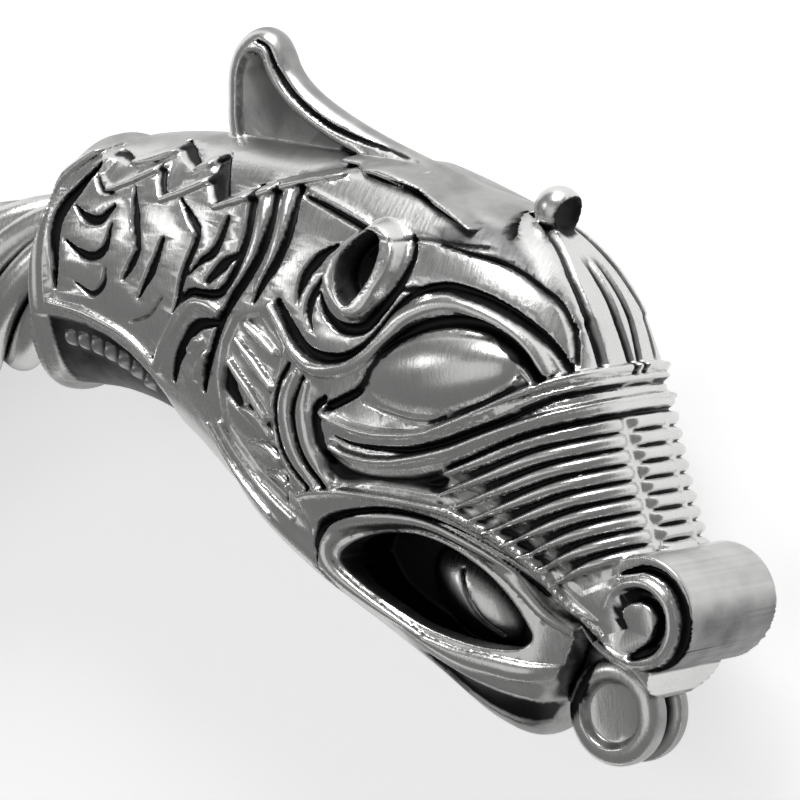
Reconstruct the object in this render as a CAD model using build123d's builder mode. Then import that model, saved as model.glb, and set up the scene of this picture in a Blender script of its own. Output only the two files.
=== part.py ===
from build123d import *
import os
from collections import namedtuple
from math import acos, asin, atan2, cos, degrees, hypot, pi, radians, sin

os.makedirs("parts", exist_ok=True)

# Penannular arm ring: a twisted body that ends in two beast heads, which face each
# other across a gap. Millimetres. The ring lies on its side, its axis close to +Z,
# with the gap towards -Y. The two heads mirror each other across the YZ plane.
#
# A head is drawn in its own side view: x runs forward from the collar, y outward, away
# from the arm, and z across. Its tables hold places as percent of head_length, widths
# and heights of relief as percent of head_length too, and half widths of the sections
# as percent of head_half_width.

# Driving dimensions of the ring
ring_radius = 40.0        # centreline of the twisted body
body_radius = 5.1         # outside of the twisted body
strand_count = 8
strand_radius = 1.10
twist_lead = 30.0         # length of body for one full turn of the twist
points_per_turn = 10      # points of a strand's line in one turn
gap = 26.0                # clear opening between the two heads

# Driving dimensions of a head
head_length = 40.0
head_half_width = 7.2
relief_height = 0.5       # bands and ribs over the skin of the head
boss_height = 1.1         # rim of the ear over the skin
crest_thickness = 2.5
crest_panel_depth = 0.45
web_thickness = 1.8         # wall in the mouth
nose_roll_radius = 3.3
nose_roll_length = 8.6
tongue_radius = 3.1
tongue_length = 3.2
tongue_dish_depth = 0.5
tongue_groove = 0.7
volute_width = 0.6        # spiral groove on each end of the nose roll
volute_depth = 0.5
ear_hole_depth = 0.8      # under the skin
socket_depth = 5.5        # how far the body runs into the collar

# Clearances
socket_clearance = 0.12   # body to the socket's wall
seat_clearance = 0.12     # end of the body to the socket's floor
core_clearance = 0.15     # strands to the rod under them

# Where the body's centreline meets the head, in percent of head_length
body_entry_x = -12.0
body_entry_y = -0.8

Section = namedtuple("Section", "top_x top_y low_x low_y half_width side crown")

# side is the straight share of the height, crown the upper share of the rest
SKULL = [
    Section(8.0, 18.5, -5.4, -17.0, 89, 0.05, 0.50),
    Section(18.0, 17.5, 7.4, -19.6, 92, 0.05, 0.50),
    Section(29.0, 16.0, 18.8, -26.2, 94, 0.08, 0.50),
    Section(42.0, 13.0, 29.2, -37.6, 97, 0.12, 0.55),
    Section(55.0, 9.5, 40.0, -45.0, 100, 0.20, 0.60),
    Section(70.0, 2.8, 52.0, -44.5, 100, 0.25, 0.70),
    Section(84.0, -4.2, 62.0, -44.0, 97, 0.28, 0.78),
    Section(92.0, -15.0, 69.0, -47.5, 90, 0.28, 0.78),
    Section(94.5, -28.0, 76.0, -52.0, 80, 0.25, 0.75),
    Section(96.0, -40.0, 82.0, -57.5, 70, 0.20, 0.70),
    Section(98.0, -52.0, 88.0, -65.0, 60, 0.15, 0.60),
]

JAW = [
    Section(40.0, -32.0, 31.0, -38.0, 89, 0.20, 0.50),
    Section(48.0, -46.5, 40.0, -49.0, 89, 0.20, 0.50),
    Section(54.0, -53.8, 50.6, -58.4, 83, 0.20, 0.50),
    Section(61.0, -59.8, 58.6, -65.6, 75, 0.20, 0.50),
    Section(70.0, -64.0, 66.6, -73.0, 64, 0.15, 0.50),
    Section(76.5, -66.0, 73.2, -76.0, 53, 0.10, 0.50),
    Section(82.5, -67.5, 79.5, -73.0, 36, 0.10, 0.50),
]

Band = namedtuple("Band", "name width path")

# Raised bands of the skull, each a line in the side view with its width
BANDS = [
    Band("brow", 2.6, [(46.5, -10.5), (49, -16.5), (54, -19.8), (61, -18), (68, -13.8),
                       (75, -12.7), (82, -14.8), (87, -19.5), (89, -24)]),
    Band("upper_lid", 1.6, [(57, -25), (63, -28), (72, -28.8), (83, -26.6), (93, -24.6)]),
    Band("lower_lid", 2.4, [(53, -26.5), (59, -30.2), (68, -31.9), (80, -30), (93, -27)]),
    Band("cheek_fold", 1.8, [(53.5, -31), (60, -34.4), (70, -35), (82, -32.6), (93, -30)]),
    Band("upper_lip", 3.0, [(42, -38), (50, -38.8), (58, -40.4), (66, -44.4), (74, -50),
                            (83, -57.5)]),
    Band("nose_fold", 1.8, [(69, -8.5), (77, -9), (85, -13), (90.5, -19)]),
    Band("outer_bar", 1.8, [(47, -20), (44, -25), (43.5, -30), (46.5, -36)]),
    Band("middle_bar", 1.8, [(49.8, -21), (47.2, -26), (47.2, -31), (50, -36.5)]),
    Band("inner_bar", 1.6, [(52.2, -22.5), (50.6, -27), (50.8, -32), (53.5, -36.3)]),
    Band("first_mane_band", 2.0, [(39.4, 6.3), (39, 2), (36.5, -3), (30, -6.8), (22, -10.5)]),
    Band("second_mane_band", 2.0, [(43, 6), (42.5, 0.5), (39, -5), (32, -10), (24, -15)]),
    Band("third_mane_band", 2.0, [(46.8, 6), (46, 0), (42, -6.5), (36, -12.5), (31, -20)]),
    Band("upper_whisker", 1.5, [(41.5, -12), (43.5, -14.3), (45.2, -17)]),
    Band("middle_whisker", 1.5, [(38.5, -14.5), (41, -17.3), (43, -20.5)]),
    Band("lower_whisker", 1.5, [(36.3, -17.8), (39, -21), (41, -25)]),
    Band("throat_rim", 1.5, [(2, -6), (10, -8.5), (15, -12.5), (19.5, -17)]),
]

# Ribs of the snout, from the lip's line to the ridge of the nose
rib_count = 9
rib_width = 1.5
FIRST_RIB = [(64, -38.6), (74, -35.2), (84, -32.6), (99, -31)]
LAST_RIB = [(84, -53.8), (88, -51.8), (93, -50.6), (102, -50)]

# Flutes of the forelock, over the bridge of the nose
FLUTES = [
    Band("near_flute", 2.2, [(82.5, -5.5), (86.5, -12), (90.5, -22)]),
    Band("ridge_flute", 2.4, [(86.5, -4), (92.5, -12), (95.5, -22)]),
]

# Cuts of the fur on the neck: middle of the cut, its length, width and slant in degrees
Slot = namedtuple("Slot", "x y length width slant")
FUR = [
    Slot(13.5, 6.9, 8.0, 1.5, -3),
    Slot(12.5, 2.2, 8.0, 1.5, -3),
    Slot(21.8, 4.8, 9.5, 1.5, 92),
    Slot(23.2, -0.8, 7.0, 1.4, 50),
    Slot(30.6, 3.4, 8.0, 1.5, 115),
    Slot(29.6, -4.6, 8.0, 1.5, 62),
    Slot(36.0, 1.6, 5.0, 1.8, 62),
    Slot(35.5, -3.6, 6.5, 1.4, 25),
    Slot(24.0, -6.0, 6.0, 1.2, 50),
]

# Stepped lower edge of the back plate: the mane under it stands proud
MANE = [(4, -5), (8, 9), (10, 14.5), (15, 10), (24, 13), (25.5, 8.3), (33.3, 11), (35.5, 6.5),
        (38.5, 6.6), (38, 1.5), (35, -2.8), (29, -6), (20, -9)]

# Crest: outline of the fin, and of the sunken panel on each side of it
CREST_BACK = [(30.2, 12), (29.6, 17), (30, 21.4), (30.8, 25.4), (32.6, 28.4)]
CREST_TIP = [(32.6, 28.4), (35.4, 30.4), (38.4, 30.6), (40.6, 28.4)]
CREST_FRONT = [(40.6, 28.4), (41.3, 24.4), (45.6, 17.8), (52, 13.4), (61.6, 8.6), (70, 4),
               (80, -4.6)]
PANEL_BACK = [(32.2, 17), (32.4, 21.4), (33.6, 25), (35.8, 27)]
PANEL_TIP = [(35.8, 27), (37.6, 27), (38.4, 25)]
PANEL_FRONT = [(38.4, 25), (42.2, 18.8), (50, 13)]

# Wall down the middle of the open mouth
WEB = [(44, -40), (62, -40), (78, -50), (89, -62), (84, -70), (68, -68), (56, -60), (45, -49)]

# Eye, ear, forelock and rolls: middles in percent of head_length
eye_x, eye_y = 71.5, -22.4
eye_length, eye_height, eye_slant = 29.0, 12.5, -2.0
eye_sink = 0.77           # depth of the eye's axis, as a share of head_half_width
ear_x, ear_y = 61.0, -5.4
ear_length, ear_width, ear_slant = 14.0, 8.6, 58.0
ear_hole_share = 0.62
tongue_dish_share = 0.62

# The spiral's reach at its ends, as shares of the roll's radius, and its angles
volute_outer, volute_inner = 0.80, 0.18
volute_start, volute_turns, volute_steps = 215, 1.4, 14
knob_x, knob_y, knob_radius = 83.0, -3.0, 3.6
roll_x, roll_y = 97.0, -58.7
tongue_x, tongue_y = 85.2, -72.2

unit = head_length / 100
strand_pitch_radius = body_radius - strand_radius
core_radius = strand_pitch_radius - strand_radius - core_clearance
sides_reach = 3 * head_half_width


def spot(x, y, z=0.0):
    """A place of the head's side view in millimetres."""
    return Vector(x * unit, y * unit, z * unit)


def section_plane(row):
    """The plane of a section: its x runs across the head, its y outward."""
    top = spot(row.top_x, row.top_y)
    low = spot(row.low_x, row.low_y)
    outward = (top - low).normalized()
    return Plane(origin=(top + low) / 2, x_dir=(0, 0, 1), z_dir=(-outward.Y, outward.X, 0))


def lofted(rows, grow=0.0):
    """The near half of a body lofted through a table, its skin moved out by grow."""
    with BuildPart() as body:
        for row in rows:
            height = (spot(row.top_x, row.top_y) - spot(row.low_x, row.low_y)).length + 2 * grow
            half_width = head_half_width * row.half_width / 100 + grow
            side = height * row.side
            crown = (height - side) * row.crown
            belly = height - side - crown
            upper = height / 2 - crown
            lower = belly - height / 2
            with BuildSketch(section_plane(row)):
                with BuildLine():
                    EllipticalCenterArc((0, upper), half_width, crown, 0, arc_size=90)
                    Line((0, height / 2), (0, -height / 2))
                    EllipticalCenterArc((0, lower), half_width, belly, 270, arc_size=90)
                    Line((half_width, lower), (half_width, upper))
                make_face()
        loft()
    return body.part


def band_outline(path, width):
    """A band of the side view along a smooth line."""
    with BuildSketch() as band:
        with BuildLine() as line:
            Spline(*[spot(x, y) for x, y in path])
        trace(line.line, line_width=width * unit)
    return band.sketch


def plate_outline(*stretches):
    """A plate of the side view, smooth within each stretch and closed by a straight line."""
    with BuildSketch() as plate:
        with BuildLine():
            for stretch in stretches:
                Spline(*[spot(x, y) for x, y in stretch])
            Line(spot(*stretches[-1][-1]), spot(*stretches[0][0]))
        make_face()
    return plate.sketch


def leaf_outline(x, y, length, width, slant):
    """A pointed leaf of the side view, made of two arcs."""
    end = (length * unit / 2, 0)
    back = (-length * unit / 2, 0)
    with BuildSketch() as leaf:
        with BuildLine():
            ThreePointArc(back, (0, width * unit / 2), end)
            ThreePointArc(end, (0, -width * unit / 2), back)
        make_face()
    return Location(spot(x, y), (0, 0, 1), slant) * leaf.sketch


def rib_path(share):
    """A rib between the first and the last one, share running from 0 to 1."""
    return [(a[0] + (b[0] - a[0]) * share, a[1] + (b[1] - a[1]) * share)
            for a, b in zip(FIRST_RIB, LAST_RIB)]


def mane_outline():
    """The proud part of the neck under the stepped edge, less the cuts of the fur."""
    with BuildSketch() as mane:
        with BuildLine():
            Polyline(*[spot(x, y) for x, y in MANE], close=True)
        make_face()
        add([leaf_outline(*cut) for cut in FUR], mode=Mode.SUBTRACT)
    return mane.sketch


def relief():
    """All that is raised on the near side: mane, bands, forelock and ribs."""
    with BuildPart() as raised:
        with BuildSketch():
            add(mane_outline())
            add([band_outline(band.path, band.width) for band in BANDS + FLUTES])
            add([band_outline(rib_path(i / (rib_count - 1)), rib_width)
                 for i in range(rib_count)])
        extrude(amount=sides_reach)
        add(lofted(SKULL, relief_height), mode=Mode.INTERSECT)
    return raised.part


def ear_rim():
    """The leaf-shaped ear, standing out from the skin."""
    with BuildPart() as rim:
        with BuildSketch():
            add(leaf_outline(ear_x, ear_y, ear_length, ear_width, ear_slant))
        extrude(amount=sides_reach)
        add(lofted(SKULL, boss_height), mode=Mode.INTERSECT)
    return rim.part


def ear_hole():
    """The leaf-shaped hole of the ear."""
    with BuildPart() as hole:
        with BuildSketch():
            add(leaf_outline(ear_x, ear_y, ear_length * ear_hole_share,
                             ear_width * ear_hole_share, ear_slant))
        extrude(amount=sides_reach)
        add(lofted(SKULL, -ear_hole_depth), mode=Mode.SUBTRACT)
    return hole.part


def eye():
    """The near eye: a spindle turned about the eye's own long axis."""
    place = spot(eye_x, eye_y) + Vector(0, 0, head_half_width * eye_sink)
    with BuildPart() as ball:
        with BuildSketch(Plane(Location(place, (0, 0, 1), eye_slant))):
            with BuildLine():
                EllipticalCenterArc((0, 0), eye_length * unit / 2, eye_height * unit / 2, 0,
                                    arc_size=180)
                Line((-eye_length * unit / 2, 0), (eye_length * unit / 2, 0))
            make_face()
        revolve(axis=Axis(place, Vector(1, 0, 0).rotate(Axis.Z, eye_slant)))
    return ball.part


def roll(x, y, radius, length):
    """A cylinder that lies across the head, with rounded ends."""
    with BuildPart() as cylinder:
        with BuildSketch():
            with Locations(spot(x, y)):
                Circle(radius)
        extrude(amount=length / 2, both=True)
        fillet(cylinder.edges().filter_by(GeomType.CIRCLE), radius / 6)
    return cylinder.part


def crest():
    """The near half of the fin on the back plate, with a rim round a sunken panel."""
    with BuildPart() as fin:
        with BuildSketch():
            add(plate_outline(CREST_BACK, CREST_TIP, CREST_FRONT))
        extrude(amount=crest_thickness / 2)
        with BuildSketch(Plane.XY.offset(crest_thickness / 2 - crest_panel_depth)):
            add(plate_outline(PANEL_BACK, PANEL_TIP, PANEL_FRONT))
        extrude(amount=crest_panel_depth, mode=Mode.SUBTRACT)
    return fin.part


def web():
    """The near half of the wall that closes the mouth between the cheeks."""
    with BuildPart() as wall:
        with BuildSketch():
            with BuildLine():
                Polyline(*[spot(x, y) for x, y in WEB], close=True)
            make_face()
        extrude(amount=web_thickness / 2)
    return wall.part


def volute_path():
    """The spiral on the near end of the nose roll, wound inward from its lower edge."""
    path = []
    for step in range(volute_steps + 1):
        share = step / volute_steps
        reach = nose_roll_radius * (volute_outer + (volute_inner - volute_outer) * share)
        turn = radians(volute_start + 360 * volute_turns * share)
        path.append(spot(roll_x, roll_y) + Vector(reach * cos(turn), reach * sin(turn)))
    return path


def volutes():
    """The spiral grooves cut into both ends of the nose roll."""
    with BuildPart() as grooves:
        with BuildSketch():
            with BuildLine() as line:
                Spline(*volute_path())
            trace(line.line, line_width=volute_width)
        extrude(amount=nose_roll_length, both=True)
        add(roll(roll_x, roll_y, 2 * nose_roll_radius, nose_roll_length - 2 * volute_depth),
            mode=Mode.SUBTRACT)
    return grooves.part


def tongue_cuts():
    """The dish in each face of the curled tongue, and the groove round its middle."""
    with BuildPart() as cuts:
        with BuildSketch():
            with Locations(spot(tongue_x, tongue_y)):
                Circle(tongue_radius * tongue_dish_share)
        extrude(amount=tongue_length, both=True)
        with BuildSketch():
            with Locations(spot(tongue_x, tongue_y)):
                Circle(tongue_radius)
        extrude(amount=tongue_length / 2 - tongue_dish_depth, both=True, mode=Mode.SUBTRACT)
        with BuildSketch():
            with Locations(spot(tongue_x, tongue_y)):
                Circle(tongue_radius * 1.5)
                Circle(tongue_radius - tongue_dish_depth, mode=Mode.SUBTRACT)
        extrude(amount=tongue_groove / 2, both=True)
    return cuts.part


def knob():
    """The curled forelock: a round tuft, hollowed towards the nose."""
    with BuildPart() as tuft:
        with Locations(spot(knob_x, knob_y)):
            Sphere(knob_radius * unit)
        with Locations(spot(knob_x + knob_radius, knob_y + knob_radius / 2)):
            Sphere(knob_radius * unit * 0.75, mode=Mode.SUBTRACT)
    return tuft.part


def along_body(angle, outward=0.0, across=0.0):
    """A place by its angle round the ring, and its offset from the body's centreline."""
    reach = ring_radius + outward
    return Vector(reach * cos(radians(angle)), reach * sin(radians(angle)), across)


# Where the head's own frame lies: the ring's centre seen from the head, the turn that
# leaves the gap between the two curled tongues, and the end of the socket
centre_x = body_entry_x * unit
centre_y = body_entry_y * unit - ring_radius
tongue_reach = hypot(tongue_x * unit - centre_x, tongue_y * unit - centre_y)
tongue_angle = degrees(atan2(tongue_y * unit - centre_y, tongue_x * unit - centre_x))
head_turn = -degrees(acos((gap / 2 + tongue_radius) / tongue_reach)) - tongue_angle
head_place = Location((0, 0, 0), (0, 0, 1), head_turn) * Location((-centre_x, -centre_y, 0))
collar_middle = (SKULL[0].top_x + SKULL[0].low_x) / 2
socket_angle = degrees(((collar_middle - body_entry_x) * unit + socket_depth) / ring_radius)
body_start = 90 + head_turn - socket_angle + degrees(seat_clearance / ring_radius)
body_end = 180 - body_start


def socket():
    """The round hole in the collar that the twisted body runs into."""
    entry = Vector(centre_x, body_entry_y * unit, 0)
    with BuildPart() as hole:
        with BuildSketch(Plane(origin=entry, x_dir=(0, 1, 0), z_dir=(1, 0, 0))):
            Circle(body_radius + socket_clearance)
        revolve(axis=Axis((centre_x, centre_y, 0), (0, 0, -1)), revolution_arc=socket_angle)
    return hole.part


# One head, in its own side view
with BuildPart() as head:
    add(lofted(SKULL))
    add(lofted(JAW))
    add(relief())
    add(ear_rim())
    add(eye())
    add(crest())
    add(web())
    add(ear_hole(), mode=Mode.SUBTRACT)
    mirror(about=Plane.XY)
    add(knob())
    add(roll(roll_x, roll_y, nose_roll_radius, nose_roll_length))
    add(roll(tongue_x, tongue_y, tongue_radius, tongue_length))
    add(volutes(), mode=Mode.SUBTRACT)
    add(tongue_cuts(), mode=Mode.SUBTRACT)
    add(socket(), mode=Mode.SUBTRACT)

# The rod under the twist
with BuildPart() as core_rod:
    start = along_body(body_start)
    with BuildSketch(Plane(origin=start, x_dir=start, z_dir=start.rotate(Axis.Z, 90))):
        Circle(core_radius)
    revolve(axis=Axis.Z, revolution_arc=body_end - body_start)


def strand_plane(angle, phase):
    """The plane of a strand's section at an angle round the ring."""
    twist = phase + degrees(radians(angle - 90) * ring_radius * 2 * pi / twist_lead)
    lean = radians(twist)
    outward = strand_pitch_radius * cos(lean)
    across = strand_pitch_radius * sin(lean)
    middle = along_body(angle, outward, across)
    # forward speed round the ring, and the two speeds of the twist
    spin = 2 * pi * strand_pitch_radius / twist_lead
    round_dir = along_body(angle + 90).normalized() * (1 + outward / ring_radius)
    out_dir = along_body(angle).normalized() * (-sin(lean) * spin)
    tangent = round_dir + out_dir + Vector(0, 0, cos(lean) * spin)
    radial = middle - along_body(angle)
    return Plane(origin=middle, x_dir=radial, z_dir=tangent)


def strand(phase):
    """One strand, swept along its own helix round the core."""
    # a strand's end is cut square to its own line, so it stops short by its slant
    slant = atan2(2 * pi * strand_pitch_radius, twist_lead)
    first = body_start + degrees(strand_radius * sin(slant) / (ring_radius - body_radius))
    reach = 180 - 2 * first
    steps = round(radians(reach) * ring_radius / twist_lead * points_per_turn)
    planes = [strand_plane(first + reach * i / steps, phase) for i in range(steps + 1)]
    with BuildPart() as wire:
        with BuildLine() as helix:
            Spline(*[plane.origin for plane in planes])
        with BuildSketch(Plane(origin=helix.line @ 0, z_dir=helix.line % 0)):
            Circle(strand_radius)
        sweep(path=helix.line)
    return wire.part


# At rest the ring leans on the two eyes and on the back of the body
eye_reach = head_half_width * eye_sink + eye_height * unit / 2
eye_place = head_place * Location(spot(eye_x, eye_y))
rest_tilt = -degrees(asin((eye_reach - body_radius) / (ring_radius - eye_place.position.Y)))

head_right = head_place * head.part
pieces = {"head_right": head_right, "head_left": mirror(head_right, about=Plane.YZ),
          "core_rod": core_rod.part}
for i in range(strand_count):
    pieces[f"strand_{i + 1}"] = strand(360 * i / strand_count)

leaning = {name: Location((0, 0, 0), (1, 0, 0), rest_tilt) * piece
           for name, piece in pieces.items()}
boxes = [piece.bounding_box() for piece in leaning.values()]
front = min(box.min.Y for box in boxes)
back = max(box.max.Y for box in boxes)
seat = Location((0, -(front + back) / 2, -min(box.min.Z for box in boxes)))
for name, piece in leaning.items():
    finished = seat * piece
    finished.label = name
    export_step(finished, f"parts/{name}.step")
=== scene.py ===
from collections import namedtuple
from itertools import product
from math import acos, asin, atan2, cos, hypot, radians, sin
import bpy
import numpy as np
import openvdb
from mathutils import Matrix, Vector


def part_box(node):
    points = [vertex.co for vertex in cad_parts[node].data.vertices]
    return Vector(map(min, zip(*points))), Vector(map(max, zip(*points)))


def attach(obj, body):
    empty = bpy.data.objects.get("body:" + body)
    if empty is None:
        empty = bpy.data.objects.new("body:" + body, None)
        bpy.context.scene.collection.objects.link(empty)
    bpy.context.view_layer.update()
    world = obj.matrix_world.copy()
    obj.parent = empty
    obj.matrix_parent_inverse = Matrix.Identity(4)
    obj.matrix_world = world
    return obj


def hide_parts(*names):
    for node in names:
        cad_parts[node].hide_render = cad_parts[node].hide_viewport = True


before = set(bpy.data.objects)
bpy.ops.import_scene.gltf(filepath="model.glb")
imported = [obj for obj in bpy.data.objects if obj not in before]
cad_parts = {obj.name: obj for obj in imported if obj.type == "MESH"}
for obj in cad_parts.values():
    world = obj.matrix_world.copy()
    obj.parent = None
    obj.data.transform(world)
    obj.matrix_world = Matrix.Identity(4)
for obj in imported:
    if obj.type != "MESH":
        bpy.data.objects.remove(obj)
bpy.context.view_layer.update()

# A head is carved as a distance field in its own side view: x runs forward from the collar,
# y outward, away from the arm, and z across, in millimetres. Its tables hold places and
# widths in percent of the head's length, and heights and depths of relief in millimetres.
MM = 0.001
HEAD_LENGTH = 40.0
HALF_WIDTH = 7.2
UNIT = HEAD_LENGTH / 100

# The box that is carved, the step between its cells and the triangles that a head may have
LOW_CORNER = (-4.2, -32.4)
HIGH_CORNER = (43.2, 13.2)
HALF_DEPTH = 9.0
STEP = 0.09
MOST_TRIANGLES = 192000

# The ring, in millimetres, as the solids have it
RING_RADIUS = 40.0
BODY_RADIUS = 5.1
CORE_RADIUS = 2.75
SOCKET_CLEARANCE = 0.12
SOCKET_DEPTH = 5.5
GAP = 26.0
BODY_ENTRY = (-12.0, -0.8)
COLLAR_TOP = (8.0, 18.5)
COLLAR_LOW = (-5.4, -17.0)
SOLID_EYE_REACH = 8.044

Section = namedtuple("Section", "top_x top_y low_x low_y half_width upper lower")
Plate = namedtuple("Plate", "name height edge outline curved soot", defaults=[False, 0.0])
Line = namedtuple("Line", "name widths height path")
Softbox = namedtuple("Softbox", "name direction distance size power")

# upper and lower tell how boxy the two halves of a section are: 2 is an ellipse
SKULL = [
    Section(-2, 19, -17, -15.6, 0.87, 2.1, 2.1),
    Section(8, 18.9, -5.4, -17.4, 0.89, 2.1, 2.1),
    Section(18, 19.1, 7.4, -20.2, 0.92, 2.1, 2.2),
    Section(29, 17.6, 19, -26.6, 0.94, 2.1, 2.2),
    Section(42, 14.4, 29.2, -37.8, 0.97, 2.1, 2.3),
    Section(55, 10.4, 40, -45, 1.00, 2.1, 2.8),
    Section(70, 3.4, 52, -44.5, 1.00, 2.1, 4.5),
    Section(84, -4.2, 62, -44, 0.97, 2.1, 4.5),
    Section(92, -15, 69, -47.5, 0.90, 2.1, 4),
    Section(94.5, -28, 76, -52, 0.80, 2.1, 3.5),
    Section(96, -40, 82, -57.5, 0.70, 2.1, 3),
    Section(98, -52, 88, -65, 0.60, 2.1, 2.6),
    Section(99, -62, 93, -71, 0.50, 2.1, 2.4),
]
JAW = [
    Section(34, -20, 25, -26.5, 0.76, 2.2, 2.2),
    Section(40, -32, 31.4, -38.6, 0.81, 2.4, 2.2),
    Section(50, -40.5, 40.6, -48.8, 0.82, 4, 2.2),
    Section(57.6, -41.5, 50.8, -57.6, 0.79, 4, 2.3),
    Section(65.6, -43.5, 58.8, -65, 0.73, 4, 2.3),
    Section(74, -47.5, 66.4, -72.2, 0.66, 4, 2.3),
    Section(80.6, -52.5, 72.4, -74.6, 0.57, 3.5, 2.2),
    Section(84.4, -58, 77.4, -70.2, 0.42, 3, 2),
]

# Steps of the surface, each inside an outline. The edge is how wide the step's slope is, and
# the last field how black the step is: patina on sunken plates, painted shade on the forehead.
BACK_EDGE = [(10.5, 17.5), (14.8, 15.3), (17.6, 13.8), (25.5, 15.2), (29.3, 11.7),
             (33.6, 13), (35, 6), (40, 6.8), (45.3, 7.6), (50.7, 7.9), (58, 7.8)]
UPPER_LID_EDGE = [(52, -24.9), (54.2, -26.4), (57.5, -27.8), (61.7, -29.1), (66.7, -29.8),
                  (70, -29.8), (75, -28.7), (80, -27.5), (85, -26), (90, -24.8), (97, -24.2)]
LID_LINE = [(54, -28.9), (57.5, -30.5), (61.7, -31.5), (66.7, -32.2), (71.7, -31.8),
            (76.7, -30.9), (81.7, -29.9), (86.7, -28.4), (90, -27.6), (97, -27)]
LOWER_LID_EDGE = [(52.9, -29.7), (55.4, -31.2), (59.2, -32.5), (63.3, -33.1), (68.3, -33),
                  (73.3, -32.5), (78.3, -31.4), (83.3, -30.4), (89.2, -29.4), (97, -28.6)]
LOWER_LID_FOOT = [(53, -31), (56, -33.2), (60, -34.5), (66, -35.2), (72, -34.8), (78, -33.3),
                  (84, -32), (90, -31), (97, -30.6)]
LIP_EDGE = [(44.5, -36.6), (47.9, -36.1), (54.2, -36.5), (60.8, -38), (67.5, -39.9),
            (70.8, -40.9), (73.3, -42.6), (76.3, -44.3), (78.8, -46.3), (81.3, -48.6),
            (83.3, -51.2), (84.8, -54), (86.7, -56.3), (89.4, -59)]
LIP_LINE = [(46.6, -50.6), (45.4, -47.8), (45.9, -45.5), (46.8, -42.8), (48.8, -40.9), (53.4, -40),
            (59.6, -40.1), (65.5, -41.7), (70.4, -44), (75.1, -47.1), (78.6, -49.8),
            (82, -53.4), (85.4, -57.4)]
PLATES = [
    Plate("back", -0.5, 1.3, BACK_EDGE + [(72, 8), (72, 34), (8, 34)]),
    Plate("back_step", -0.34, 1.3,
          [(12.8, 12.9), (15.6, 10.6), (24.6, 12.9), (25.6, 8.1), (33.4, 10), (33.6, 13),
           (29.3, 11.7), (25.5, 15.2), (17.6, 13.8), (14.8, 15.3)]),
    Plate("forehead", 0.16, 0.8,
          [(49.5, 6.4), (60.8, -0.3), (66.5, -3.2), (73, -4.9), (81, -7.8), (87, -12.6),
           (90.4, -18), (92.4, -18), (88, -9), (84, -2), (74, 3), (66, 8), (58, 9)]),
    # painted shade: this plate darkens the forehead where the top light's reflection lies
    Plate("forehead_shade", 0.02, 3,
          [(70, -1.5), (76, -1), (82, -3.4), (86, -8.4), (89, -15), (87.6, -15.4), (84.6, -10.6),
           (79.4, -7.2), (72, -5.4)], soot=0.68),
    Plate("whisker_bed", -0.34, 1,
          [(38.5, -10.8), (43, -10.5), (46.6, -16), (45.2, -19), (42.8, -23), (42.3, -29),
           (43.4, -34), (41.5, -37.5), (37, -33), (33, -26), (34, -19), (36, -14)]),
    Plate("throat_bed", -0.4, 1,
          [(0.6, -6), (5, -7), (9, -8.5), (12.8, -10.6), (16.2, -13.6), (18.6, -17),
           (20, -20.4), (20, -27), (14, -27), (6, -22), (-4, -18)], soot=0.72),
    Plate("upper_lid", 0.4, 0.8, UPPER_LID_EDGE + LID_LINE[::-1]),
    Plate("lower_lid", 0.34, 0.8, LOWER_LID_EDGE + LOWER_LID_FOOT[::-1]),
    Plate("cheek_pit", -0.55, 1.4,
          [(51.6, -31), (55, -33.8), (60, -35.4), (66, -36), (71, -36.2), (69, -38.4),
           (64, -37.2), (58, -35.9), (53, -35.4), (51, -33.5)], curved=True, soot=0.9),
    Plate("rib_bed", -0.22, 1.2,
          [(66, -36.5), (78, -34), (98, -31.5), (100, -52), (88, -55), (83, -50), (77, -43.8),
           (71, -40)]),
    Plate("upper_lip", 0.36, 0.9, LIP_EDGE + LIP_LINE[::-1]),
    Plate("ear", 0.85, 1.3,
          [(61, -1), (63.7, -0.2), (66, -1.7), (67.1, -4.3), (66.7, -7), (65.2, -9.2), (62.6, -12.4),
           (59.4, -13), (57.3, -11), (55.7, -8.5), (55.5, -6), (57, -3.4)], curved=True),
    Plate("ear_hole", -2.1, 0.9,
          [(62.4, -1.6), (63.8, -2.2), (64.3, -4.5), (63.5, -7.2), (61.8, -9.4), (59.7, -11),
           (58.4, -9.5), (57.8, -7.1), (58.5, -4.6), (60.3, -2.7)], curved=True, soot=1.0),
]

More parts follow.
